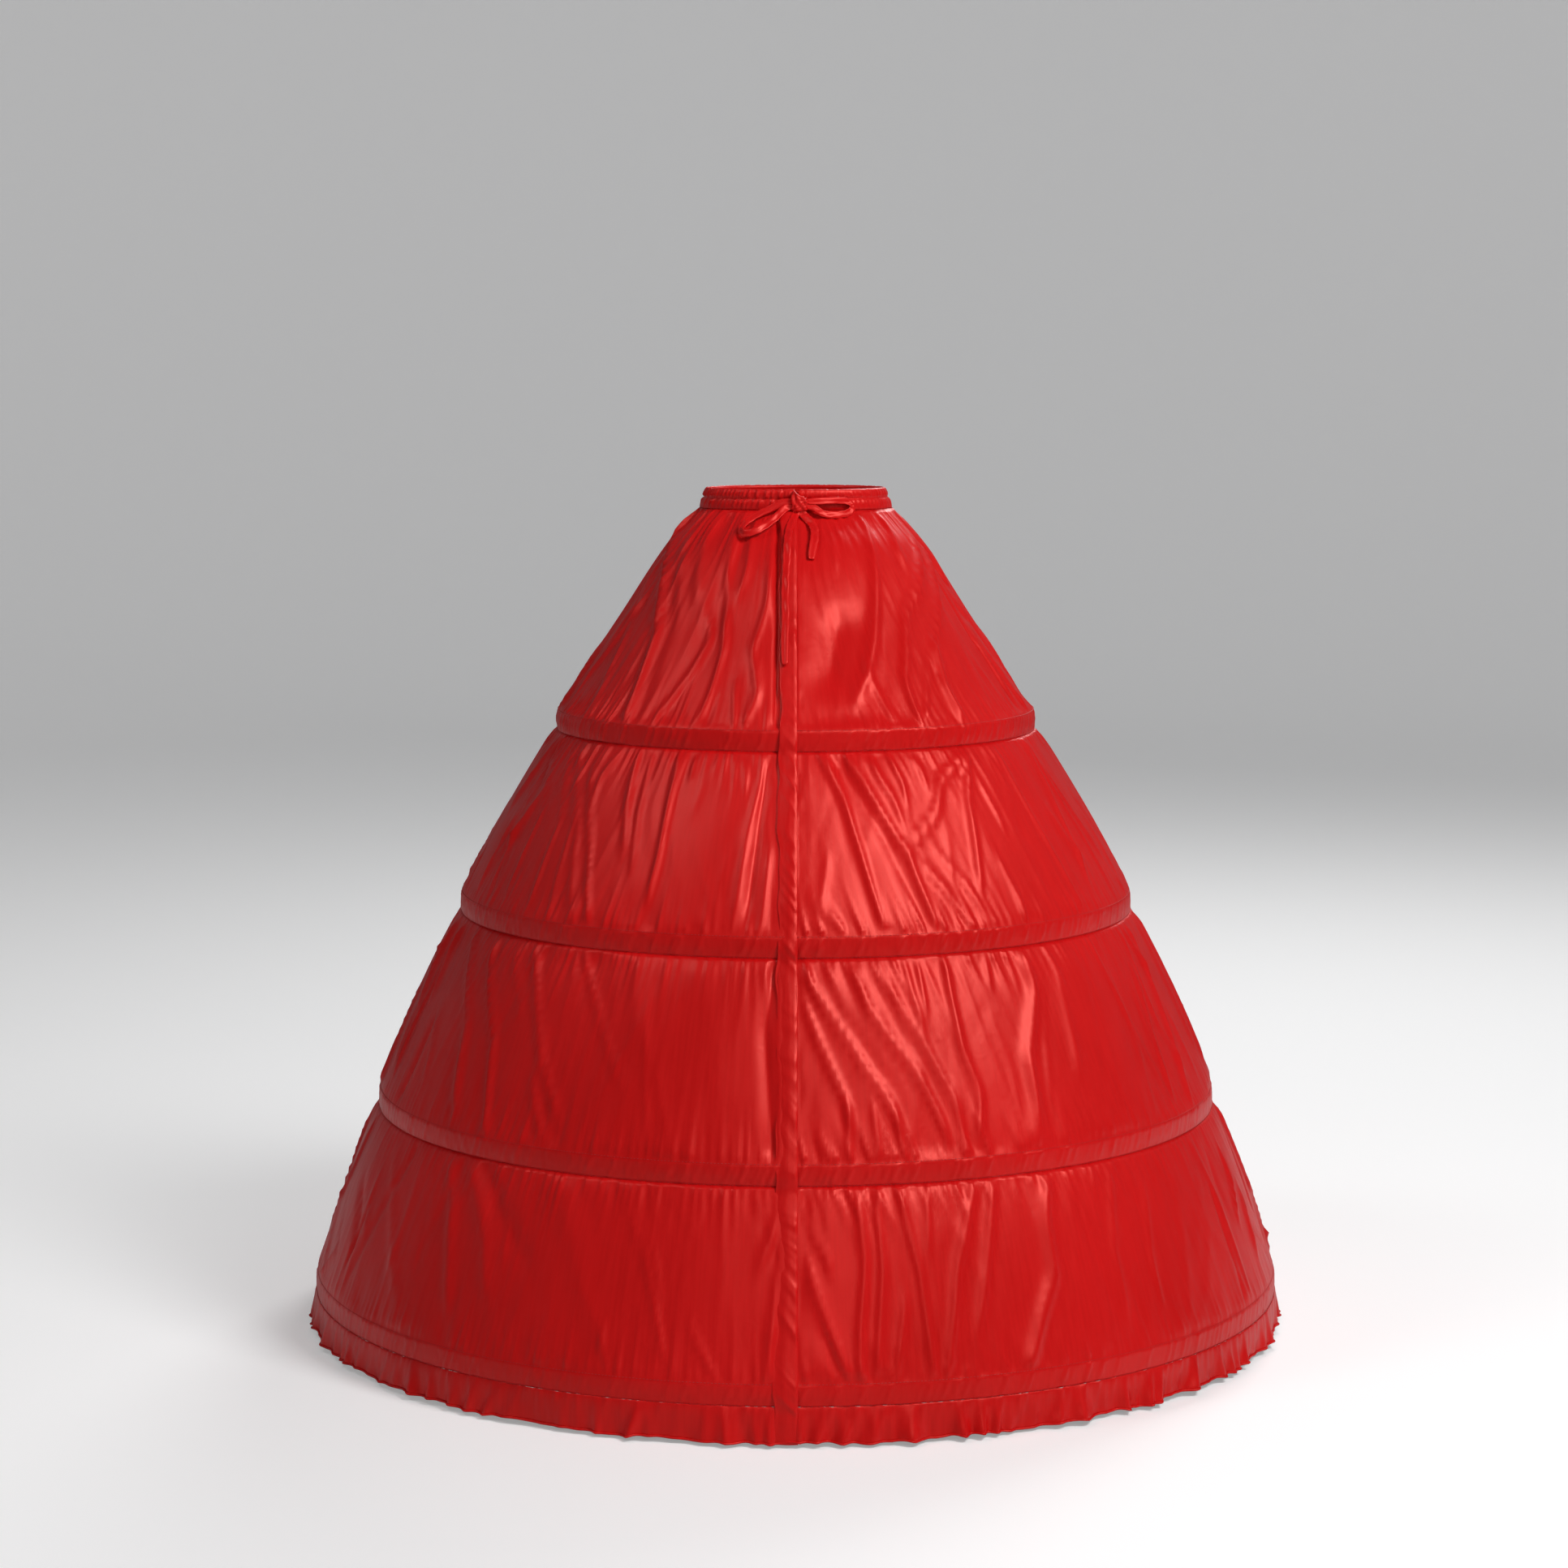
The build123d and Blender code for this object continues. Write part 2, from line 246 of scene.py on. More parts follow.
tie_routes = {
    "bow_loop_left": [
        (-4.5, -92, -13.9), (-13, -92, -13.9), (-28, -91, -22), (-47, -93.5, -30),
        (-60, -101, -38.5), (-65.5, -109.5, -46.5), (-61, -119, -51.5), (-45, -121, -46.5),
        (-29, -108.5, -37), (-17, -99.5, -25.5), (-11, -93, -20.1), (-4.5, -93, -20.1),
    ],
    "bow_loop_right": [
        (12.5, -92, -13.9), (23, -92, -13.9), (43, -86.5, -12.8), (60, -78, -13.3),
        (66.5, -75, -18), (67, -77.5, -24.5), (60, -84, -28.8), (44, -92, -30.5),
        (30, -96, -28), (21, -92.5, -20.1), (12.5, -92.5, -20.1),
    ],
    "bow_tail_left": [
        (0.5, -94.4, -24.5), (0.5, -94.4, -28), (-2.2, -101.6, -32.2), (-5.5, -110.7, -38),
        (-8.5, -124.2, -47), (-10.3, -144, -60), (-11, -155.4, -78.5), (-12.2, -169.3, -97.5),
        (-13, -187.4, -122), (-12, -205.5, -146.5), (-13.8, -223.2, -170.5),
        (-13, -240.5, -194.5),
    ],
    "bow_tail_right": [
        (7.5, -94, -24.5), (7.5, -94, -28.5), (12.5, -97.5, -33), (18, -104, -38.5),
        (22, -114, -45.5), (22, -127, -55), (19.3, -138, -66.5), (17.8, -147.5, -79),
    ],
}


def line_through(name, route):
    """Points of the smooth NURBS line with this route, in metres."""
    line = bpy.data.curves.new(name + "_line", "CURVE")
    line.dimensions = "3D"
    spline = line.splines.new("NURBS")
    spline.points.add(len(route) - 1)
    for point, (x, y, z) in zip(spline.points, route):
        point.co = (x * MM, y * MM, z * MM, 1)
    spline.order_u = 3
    spline.use_endpoint_u = True
    spline.resolution_u = 10
    holder = bpy.data.objects.new(name + "_line", line)
    bpy.context.scene.collection.objects.link(holder)
    bpy.context.view_layer.update()
    mesh = bpy.data.meshes.new_from_object(holder)
    points = np.array([v.co for v in mesh.vertices])
    bpy.data.meshes.remove(mesh)
    bpy.data.objects.remove(holder)
    return points


def unit(vectors):
    return vectors / np.linalg.norm(vectors, axis=-1, keepdims=True)


def folded_strip(name, path, width, thickness):
    """Tube round the path with a folded strip's section, its flat side outwards."""
    tie, around, along = flat_cloth(
        name, TIE_ROUND, len(path) - 1, 2 * width * MM, len(path) * 0.002
    )
    ahead = unit(np.gradient(path, axis=0))
    outward = path * (1, 1, 0) + (0, 0, 0.03)
    outward = unit(outward - ahead * (outward * ahead).sum(1, keepdims=True))
    sideways = np.cross(ahead, outward)
    row = np.rint(along * (len(path) - 1)).astype(int)
    turn = 2 * np.pi * around
    flat = np.sign(np.cos(turn)) * np.abs(np.cos(turn)) ** 0.7 * width / 2
    lift = np.sin(turn) * thickness / 2
    dip = np.exp(-(((flat - width * 0.22) / (width * 0.12)) ** 2))
    lift = lift - np.where(lift > 0, 0.42 * thickness * dip, 0)
    wave = 0.14 * width * np.sin(0.9 * row) * np.sin(np.pi * along)
    crumple = 0.45 * np.sin(0.4 * row + 1.5 * np.sin(0.15 * row) + 4 * flat / width)
    lift = lift + crumple * np.sin(np.pi * along) ** 0.5
    end_pinch = 1 - 0.3 * np.exp(-row / 3) - 0.25 * np.exp(-(len(path) - 1 - row) / 3)
    flat = flat * end_pinch + wave * 0.25
    put(tie, path[row] + sideways[row] * (flat * MM)[:, None] + outward[row] * (lift * MM)[:, None])
    sew_shut(tie)
    bpy.ops.object.mode_set(mode="EDIT")
    bpy.ops.mesh.select_all(action="SELECT")
    bpy.ops.mesh.fill_holes(sides=TIE_ROUND + 2)
    bpy.ops.mesh.normals_make_consistent(inside=False)
    bpy.ops.object.mode_set(mode="OBJECT")
    rounded = tie.modifiers.new("soften", "SUBSURF")
    rounded.levels = 1
    rounded.render_levels = 1
    bpy.ops.object.modifier_apply(modifier=rounded.name)
    return tie


for name, route in tie_routes.items():
    path = line_through(name, route)
    tie = folded_strip(name + "_tie", path, TIE_WIDTH[name], TIE_THICKNESS)
    tie.data.materials.append(red_satin)
    length = float(np.linalg.norm(np.diff(path, axis=0), axis=1).sum())
    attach(tie, "root")
    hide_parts(name)
    print(tie.name, "length", round(length * 1000), "mm")

# %% [markdown]
# The skirt's shape comes from four hoops. Between two hoops the cloth hangs in
# a slightly swollen cone, and at each hoop it rolls over the strip and is
# pulled in by a row of stitches above it and another below.
# %% The skirt's form
HOOP_RADIUS = (286, 403, 504, 582)
HOOP_DROP = (276, 494, 729, 953)
STITCHES_ABOVE = 10.5
STITCHES_BELOW = 13.5
TIER_START = (25, 289.5, 507.5, 742.5)
RUFFLE_START = 966.5
HEM_DROP = 1006.5

CHANNEL_OFFSETS = (-STITCHES_ABOVE, -9, -7, -4.5, -1.5, 2, 5, 7.5, 10, 12, STITCHES_BELOW)
CHANNEL_SWELL = (0.4, 1.2, 1.6, 1.8, 2.0, 2.2, 2.2, 2.1, 2.0, 1.9, 1.7)


def skirt_form(number, drop):
    """Half depth and half width of the cloth's outer face, this far down, on one tier."""
    hoop, at = HOOP_RADIUS[number], HOOP_DROP[number]
    end = at - STITCHES_ABOVE
    lower_x = [at + offset for offset in CHANNEL_OFFSETS]
    lower_y = [hoop + swell for swell in CHANNEL_SWELL]
    if number == 0:
        upper_x = [25, 42, 60, 162, end - 12, end - 4]
        deep = [86.5, 105, 128.5, 206.5, 276, 282.5]
        wide = [116.5, 131, 146.5, 213.5, 276, 282.5]
    else:
        start = TIER_START[number]
        above = HOOP_RADIUS[number - 1] + 1.7
        upper_x = [start, start + 4, start + 14, (start + end) / 2, end - 14, end - 4]
        swell = [0, 0.9, 2.2, 5, 1.8, 1.0]
        deep = wide = [
            above + (hoop + 0.2 - above) * (x - start) / (end - start) + out
            for x, out in zip(upper_x, swell)
        ]
    return (
        through(drop, upper_x + lower_x, deep + lower_y),
        through(drop, upper_x + lower_x, wide + lower_y),
    )


def rows_of(number, panel_rows):
    """Drops of a tier's rows: close together near the stitches and over the hoop."""
    start = TIER_START[number]
    top_stitches = HOOP_DROP[number] - STITCHES_ABOVE
    share = np.linspace(0, 1, panel_rows)
    eased = 0.5 * share + 0.5 * (0.5 - 0.5 * np.cos(np.pi * share))
    panel = start + (top_stitches - start) * eased
    return np.concatenate(
        [panel, [HOOP_DROP[number] + offset for offset in CHANNEL_OFFSETS[1:]]]
    )


print("tier 1 at mid-height:", [round(float(v), 1) for v in skirt_form(0, 160.0)])

# %% [markdown]
# Gathered satin makes long, tense folds from hoop to hoop. Those on the back
# are listed as they lie: each is a line of (share of the way down, degrees
# from the centre back), with its half width and its height in millimetres.
# The rest of the way round gets seeded folds of the same kind.
# %% Folds
folds_seen = (
    (
        (((0.1, -84.0), (0.53, -75.6), (0.97, -74.7)), 6.5, 3),
        (((0.15, -79.0), (0.64, -64.7), (0.94, -59.4)), 7.4, 2.5),
        (((0.1, -81.7), (0.32, -60.5), (0.58, -48.3), (0.87, -45.3), (0.98, -45.0)), 6.5, 6),
        (((0.13, -59.6), (0.35, -48.1), (0.54, -40.8)), 9.3, 3),
        (((0.1, -45.9), (0.27, -42.2), (0.44, -36.4)), 11.2, 4),
        (((0.1, -29.6), (0.27, -28.1), (0.42, -24.3)), 7.4, 4),
        (((0.46, -33.6), (0.59, -26.7), (0.76, -30.4), (0.95, -35.2)), 4.7, 3.5),
        (((0.44, -24.5), (0.64, -21.6), (0.83, -22.3), (0.97, -23.7)), 5.6, 4.5),
        (((0.1, -21.5), (0.27, -19.5), (0.4, -21.0)), 5.6, 3),
        (((0.23, -10.4), (0.42, -9.7), (0.64, -12.8), (0.82, -9.6), (0.97, -11.8)), 6.5, 4.5),
        (((0.82, -16.2), (0.99, -14.1)), 3.7, 2),
        (((0.06, -8.9), (0.49, -5.7), (0.97, -4.8)), 3.7, -6),
        (((0.1, 12.7), (0.2, 16.2)), 3.7, 2.5),
        (
            ((0.09, 37.3), (0.21, 34.6), (0.42, 28.9), (0.61, 23.8), (0.77, 18.8), (0.88, 14.5)),
            6.5,
            6,
        ),
        (((0.75, 20.0), (0.86, 21.8), (0.97, 23.5)), 4.7, 3),
        (((0.09, 53.8), (0.19, 50.2)), 3.7, 2.5),
        (((0.14, 71.8), (0.5, 38.3), (0.79, 29.8), (0.98, 30.3)), 5.6, 5),
        (((0.16, 79.1), (0.36, 64.1), (0.62, 45.8), (0.81, 42.3), (0.98, 42.9)), 5.6, 5),
        (((0.64, 44.9), (0.8, 36.7), (0.96, 32.1)), 3.7, 3),
        (((0.2, 86.0), (0.46, 79.7), (0.68, 69.3), (0.92, 71.2)), 6.5, 4),
        (((0.57, 28.8), (0.86, 22.9)), 11.2, -2),
        (((0.49, 14.8), (0.82, 8.2)), 24, -8),
    ),
    (
        (((0.0, -71.7), (0.43, -59.9), (0.92, -58.9)), 3.7, 1.8),
        (((0.02, -87.1), (0.43, -67.3), (0.93, -65.6)), 3.7, 1.8),
        (((0.03, -62.7), (0.45, -52.2), (0.93, -50.6)), 3.7, 1.8),
        (((0.06, -57.5), (0.44, -47.9), (0.94, -45.2)), 3.7, 1.8),
        (((0.14, -49.7), (0.56, -41.2), (0.95, -36.1)), 3.7, 3),
        (((-0.03, -58.7), (0.43, -46.7), (0.92, -40.4)), 4.7, 2),
        (((0.5, -67.4), (0.87, -63.7)), 2.8, 1.5),
        (((-0.01, -42.8), (0.2, -45.9), (0.34, -44.7)), 4.7, 3),
        (((-0.02, -38.3), (0.27, -36.3), (0.58, -32.7)), 4.7, 3.5),
        (((0.02, -34.2), (0.36, -32.4), (0.69, -29.9)), 4.7, 2.5),
        (((-0.07, -26.4), (0.26, -26.2), (0.57, -25.3), (0.83, -25.6)), 4.7, 4.5),
        (((-0.09, -23.6), (0.01, -22.4), (0.11, -22.7)), 3.7, 3),
        (((-0.21, -15.9), (0.24, -13.6)), 2.8, -2),
        (((0.02, -12.3), (0.15, -10.6)), 3.7, 2),
        (((0.11, -6.8), (0.46, -9.3), (0.92, -10.0)), 6.5, 3.5),
        (((-0.19, -5.5), (0.17, -6.7), (0.68, -7.8), (0.9, -8.1)), 4.7, -4),
        (((0.52, -4.9), (0.95, -5.7)), 4.7, 3),
        (((-0.0, 5.7), (0.26, 9.6), (0.57, 11.7), (0.96, 14.1)), 4.7, 4.5),
        (((-0.0, 8.2), (0.2, 11.7), (0.46, 16.5), (0.95, 21.1)), 8.4, -3),
        (((-0.0, 11.0), (0.24, 15.2), (0.57, 20.3), (0.94, 22.9)), 4.7, 4),
        (((0.02, 15.6), (0.27, 19.8), (0.43, 20.9)), 4.7, 3.5),
        (((0.0, 20.3), (0.16, 22.4), (0.27, 22.6)), 4.7, 3),
        (((0.01, 25.1), (0.1, 27.5), (0.19, 28.2)), 3.7, 2.5),
        (((0.07, 38.6), (0.18, 31.7), (0.37, 28.0), (0.49, 22.4), (0.56, 18.3)), 5.6, 4.5),
        (((0.05, 41.1), (0.3, 36.6), (0.58, 34.5), (0.78, 33.0)), 4.7, 4.5),
        (((0.56, 20.7), (0.75, 25.7), (0.98, 29.4)), 5.6, 3.5),
        (((0.54, 25.7), (0.76, 30.5), (0.98, 33.6)), 4.7, 3),
        (((0.22, 41.7), (0.42, 43.0)), 3.7, 2.5),
        (((0.64, 38.9), (0.9, 40.6)), 3.7, 2.5),
        (((-0.07, 51.0), (0.36, 52.5), (0.97, 55.6)), 3.7, 2),
        (((-0.03, 66.8), (0.4, 68.0), (0.93, 71.0)), 3.7, 2),
        (((0.46, 4.3), (0.22, 1.4)), 4.7, 2.5),
        (((0.59, 5.5), (0.81, 4.1)), 5.6, 2),
        (((0.81, 2.5), (0.96, 7.6)), 5.6, 2.5),
    ),
    (
        (((0.02, -80.0), (0.41, -79.3), (0.81, -77.6)), 5.6, 2.5),
        (((0.04, -65.8), (0.45, -55.9), (0.92, -51.4)), 6.5, 4),
        (((-0.03, -56.8), (0.13, -56.3), (0.51, -48.3), (0.94, -44.6)), 4.7, 4),
        (((0.1, -50.2), (0.33, -45.0)), 3.7, 2),
        (((-0.06, -47.9), (0.2, -43.5), (0.55, -38.4), (0.87, -32.3)), 4.7, 3),
        (((0.01, -36.3), (0.28, -31.0), (0.55, -26.0), (0.68, -22.9)), 3.7, 2.2),
        (((0.68, -38.7), (0.95, -34.7)), 4.7, 2.5),
        (((0.11, -25.5), (0.49, -21.9)), 13, 1.5),
        (((0.05, -13.1), (0.67, -10.4)), 20.5, 1.5),
        (((-0.07, -3.0), (0.35, -4.6), (1.0, -3.0)), 8.4, -5),
        (((-0.07, -0.9), (0.12, -2.4)), 5.6, 3),
        (((0.16, 0.4), (0.43, 3.4), (0.67, 6.2), (0.85, 7.3)), 4.7, 4),
        (((0.1, 1.7), (0.39, 7.2), (0.67, 11.7), (0.9, 14.2)), 5.6, 4.5),
        (((0.2, 4.6), (0.43, 8.9), (0.66, 12.8)), 8.4, -3),
        (((0.0, 7.8), (0.28, 11.1), (0.54, 16.0), (0.79, 18.9), (0.93, 20.0)), 5.6, 4.5),
        (((0.02, 11.1), (0.25, 15.6), (0.45, 18.2), (0.69, 21.2), (0.94, 21.8)), 5.6, 3.5),
        (((0.03, 17.0), (0.21, 17.6), (0.31, 18.3)), 4.7, 3),
        (((0.03, 19.1), (0.25, 19.3)), 3.7, 2.5),
        (((0.02, 23.7), (0.24, 23.6), (0.46, 23.7), (0.69, 25.2), (0.92, 23.6)), 5.6, 4.5),
        (((0.01, 31.4), (0.14, 30.8)), 4.7, 2.5),
        (((0.03, 38.0), (0.2, 38.5), (0.53, 34.0), (0.92, 32.7)), 8.4, 5.5),
        (((0.12, 44.3), (0.45, 42.8), (0.69, 41.9)), 7.4, 1.8),
        (((0.06, 55.6), (0.48, 57.7), (0.84, 60.7)), 4.7, 1.8),
        (((0.05, 67.6), (0.53, 66.8), (0.87, 70.5)), 4.7, 1.8),
        (((0.71, 6.7), (1.01, 6.4)), 5.6, 3),
        (((0.73, 9.9), (1.0, 10.5)), 4.7, 3),
        (((0.76, 12.8), (1.0, 13.6)), 4.7, 3),
        (((0.86, 2.9), (1.02, 4.8)), 4.7, 2.5),
    ),
    (
        (((0.12, -64.4), (0.83, -52.3)), 7.4, 2),
        (((-0.07, -51.2), (0.33, -46.3), (0.83, -43.1)), 8.4, 3),
        (((0.01, -43.7), (0.31, -37.3), (0.5, -33.0)), 11.2, -2.5),
        (((-0.04, -47.0), (0.37, -40.0), (0.7, -37.7)), 11.2, 3),
        (((-0.01, -31.5), (0.38, -26.8), (0.86, -21.9)), 14.9, 1.5),
        (((0.17, -20.8), (0.35, -18.2), (0.55, -16.6), (0.92, -14.3)), 3.7, 2.5),
        (((0.17, -19.2), (0.36, -16.9), (0.59, -15.4)), 3.7, 2),
        (((0.74, -11.8), (1.0, -8.4)), 3.7, 2.5),
        (((0.82, -21.9), (0.98, -20.8)), 3.7, 2.5),
        (((0.02, 0.3), (0.18, -2.3), (0.4, -4.4)), 5.6, 4),
        (((0.24, 0.0), (0.48, -2.0), (0.94, -3.2)), 6.5, 3.5),
        (((0.52, -0.4), (0.93, -1.7)), 6.5, -5),
        (((0.22, 1.7), (0.38, 3.7)), 5.6, 3),
        (((0.34, 0.9), (0.67, 3.2), (0.98, 5.7)), 6.5, 5),
        (((0.73, 2.7), (0.98, 4.6)), 6.5, -3.5),
        (((0.07, 7.3), (0.37, 7.9), (0.73, 6.9), (0.96, 6.9)), 5.6, 4),
        (((0.06, 9.6), (0.41, 9.9), (0.94, 8.5)), 5.6, 3.5),
        (((0.05, 12.5), (0.42, 14.1), (0.96, 14.8)), 5.6, 4),
        (((0.58, 12.2), (0.95, 10.7)), 4.7, 3),
        (((0.08, 16.0), (0.3, 15.5)), 4.7, 2.5),
        (((0.07, 22.0), (0.43, 18.8), (0.96, 16.4)), 6.5, 4.5),
        (((0.04, 24.9), (0.45, 22.4), (0.77, 20.3)), 5.6, 4),
        (((-0.05, 33.4), (0.24, 31.2), (0.53, 31.0), (0.71, 28.6), (0.94, 26.3)), 8.4, 5.5),
        (((-0.01, 40.5), (0.08, 40.1)), 3.7, 2),
        (((0.05, 43.4), (0.46, 40.4), (0.81, 40.2)), 6.5, 2.5),
        (((0.18, 48.8), (0.55, 46.2), (0.81, 46.2)), 4.7, 2.5),
        (((0.02, 63.6), (0.4, 65.4), (0.97, 66.2)), 5.6, 2.5),
    ),
)

PANEL_DROP = 215


def crest(x):
    """Cross-section of a fold: a fairly sharp crest between two shallow dips."""
    return np.exp(-(np.abs(x) ** 1.5)) - 0.24 * np.exp(-((x / 2.4) ** 2))


def more_folds(number, random):
    """Folds for the front and the far sides, like those that are listed."""
    lines = []
    for middle in np.arange(-176, 180, 4.6 - 0.5 * number):
        angle = middle + random.uniform(-2, 2)
        strength = 0.25 if abs(angle) < 62 else 1
        lean = random.uniform(-4, 4)
        start, end = sorted(random.uniform(-0.1, 1.1, 2))
        if end - start < 0.35:
            end = start + 0.35
        bow = random.uniform(-1.2, 1.2)
        line = (
            (start, angle - lean),
            ((start + end) / 2, angle + bow),
            (end, angle + lean),
        )
        height = strength * random.uniform(1.2, 5) * random.choice((1, 1, 1, -0.7))
        lines.append((line, random.uniform(3.5, 9), height))
    return lines


def fold_height(lines, angle, fall, radius):
    """How far the folds stand out, in millimetres."""
    total = np.zeros_like(angle)
    for line, width, height in lines:
        falls = [point[0] for point in line]
        middle = np.interp(fall, falls, [point[1] for point in line])
        across = (angle - middle + 180) % 360 - 180
        lean = np.diff([point[1] for point in line]) / np.diff(falls)
        lean = np.interp(fall, (np.array(falls[1:]) + falls[:-1]) / 2, lean)
        wider = np.sqrt(1 + (np.radians(lean) * radius / PANEL_DROP) ** 2)
        soft = min(0.5 * (falls[-1] - falls[0]), 0.2)
        begin = 1 if falls[0] < 0.12 else smooth_step((fall - falls[0] + 0.08) / soft)
        finish = 1 if falls[-1] > 0.93 else smooth_step((falls[-1] + 0.08 - fall) / soft)
        total += height * begin * finish * crest(np.radians(across) * radius / (width * wider))
    return total


def slow_waves(angle, fall, random, height):
    """Broad, low swells in the cloth."""
    total = np.zeros_like(angle)
    for _ in range(14):
        turns = random.integers(5, 26)
        lean = random.uniform(-2.5, 2.5)
        phase = random.uniform(0, 2 * np.pi)
        total += np.sin(np.radians(angle) * turns + lean * fall + phase) / np.sqrt(turns)
    return height * total


def wrinkles(seed, arc, fall, round_length, spacing, down):
    """Long, sharp little ridges: seeded values on a lattice, folded at their middle."""
    cells = int(round_length / spacing)
    table = np.random.default_rng(seed).random((down + 2, cells))
    x = arc / round_length * cells
    y = np.clip(fall, 0, 1) * down
    column, row = np.floor(x).astype(int), np.floor(y).astype(int)
    u, v = smooth_step(x - column), smooth_step(y - row)
    here, after = column % cells, (column + 1) % cells
    upper = table[row, here] * (1 - u) + table[row, after] * u
    lower = table[row + 1, here] * (1 - u) + table[row + 1, after] * u
    value = upper * (1 - v) + lower * v
    return (1 - np.abs(2 * value - 1)) ** 1.6 - 0.45


# %% [markdown]
# At every row of stitches the cloth is drawn up into small puckers, 7 to 13 mm
# apart. They are strongest beside the seam and fade towards the smooth sides.
# %% Puckers
PULL_ANGLES = (-180, -120, -75, -55, -30, -8, 4, 25, 40, 55, 80, 130, 180)
PULL = (
    (0.9, 0.8, 1.3, 1.3, 1.1, 0.7, 1.1, 1.3, 1.0, 0.8, 0.6, 0.8, 0.9),
    (0.8, 0.9, 0.5, 0.7, 1.0, 0.8, 1.5, 1.4, 1.1, 0.6, 0.4, 0.8, 0.8),
    (0.8, 0.9, 0.4, 0.5, 1.1, 0.9, 1.6, 1.5, 0.9, 0.5, 0.3, 0.8, 0.8),
    (0.8, 0.9, 0.4, 0.6, 0.9, 0.8, 1.4, 1.3, 1.0, 0.6, 0.4, 0.8, 0.8),
)


class Puckers:
    """One row of puckers round a ring of stitches."""

    def __init__(self, seed, radius, pull, spacing=(6.5, 13), height=(1.4, 4.2), reach=(10, 38)):
        random = np.random.default_rng(seed)
        self.radius = radius
        self.round = 2 * np.pi * radius
        self.arc = np.arange(0, self.round, 0.8)
        self.height = np.zeros_like(self.arc)
        self.reach = np.zeros_like(self.arc)
        weight = np.full_like(self.arc, 1e-9)
        at = 0.0
        while at < self.round:
            step = random.uniform(*spacing)
            away = np.abs((self.arc - at + self.round / 2) % self.round - self.round / 2)
            bump = np.exp(-((away / (0.36 * step)) ** 1.5))
            self.height += bump * random.uniform(*height) * random.choice((1, 1, 1, 0.3))
            self.reach += bump * random.uniform(*reach)
            weight += bump
            at += step
        self.height -= self.height.mean()
        self.reach = self.reach / weight + 2
        angle = (np.degrees(self.arc / radius) + 180) % 360 - 180
        self.height *= np.interp(angle, PULL_ANGLES, pull)

    def at(self, angle, shift=0.0):
        """Height on the row itself, looked up this far along from the angle."""
        arc = (np.radians(angle) * self.radius + shift) % self.round
        return np.interp(arc, self.arc, self.height, period=self.round)

    def __call__(self, angle, away, lean=0.0):
        """Height at this angle, this far from the stitches."""
        away = np.maximum(away, 0)
        arc = (np.radians(angle) * self.radius - lean * away) % self.round
        height = np.interp(arc, self.arc, self.height, period=self.round)
        reach = np.interp(arc, self.arc, self.reach, period=self.round)
        rise = 1 - np.exp(-((away / 1.5) ** 2))
        return height * rise * np.exp(-((away / reach) ** 1.4))


puckers_above = [Puckers(20 + n, HOOP_RADIUS[n], PULL[n]) for n in range(4)]
channel_gathers = [
    Puckers(70 + n, HOOP_RADIUS[n], (1,) * 13, spacing=(5.5, 9.5), height=(0.9, 2.6))
    for n in range(4)
]
puckers_below = [
    Puckers(30, 120, PULL[0], spacing=(8, 18), height=(1.5, 4.6), reach=(18, 62))
] + [Puckers(30 + n, HOOP_RADIUS[n - 1], PULL[n - 1]) for n in (1, 2, 3)]
tier_folds = []
tier_waves = []
for number in range(4):
    random = np.random.default_rng(7 + number)
    tier_folds.append(list(folds_seen[number]) + more_folds(number, random))
    tier_waves.append(int(random.integers(1000)))
print("folds on each tier:", [len(lines) for lines in tier_folds])

# %% [markdown]
# Down the centre back runs the placket, a flat folded strip that ends on the
# seam. The cloth beside it dips under its left edge, and puckers run out of the
# seam on the right.
# %% One place on a tier
SEAM = 1.0
FOLD_DEPTH = 1.3
even = (1,) * len(PULL_ANGLES)
seam_row = Puckers(45, 240, even, spacing=(6, 17), height=(0.8, 3.4))
placket_row = Puckers(46, 240, even, spacing=(7, 26), height=(0.8, 4.8))


def placket_left(drop):
    """Where the placket's left edge is at this drop, in millimetres from the centre back."""
    wander = 1.2 * np.sin(drop / 31) + 1.0 * np.sin(drop / 13 + 2) + 0.7 * np.sin(drop / 6.1)
    return -np.interp(drop, (25, 290, 700, 1010), (19, 20, 22.5, 26)) + wander


def lean_of(angle):
    """Puckers lean down and away from the seam on its right, and a little on its left."""
    return np.interp(angle, (-180, -40, -5, 5, 25, 60, 180), (0, -0.12, 0.05, 0.4, 0.32, 0.15, 0))


def beside_seam(x, drop):
    """Relief of the cloth beside and under the placket, and how much of the folds is left there."""
    left = placket_left(drop)
    under = smooth_step((x - left + 2) / 5) * smooth_step((SEAM + 1 - x) / 3)
    groove = -1.7 * np.interp(drop, (230, 340), (1, 0.15)) * np.exp(-(((x - left + 3) / 3.2) ** 2))
    right = np.maximum(x - SEAM, 0)
    pull = seam_row.at(np.degrees((drop - 0.7 * right) / seam_row.radius))
    seam_pucker = np.where(x > SEAM, pull * np.exp(-right / 10), 0)
    return groove + seam_pucker, 1 - 0.92 * under


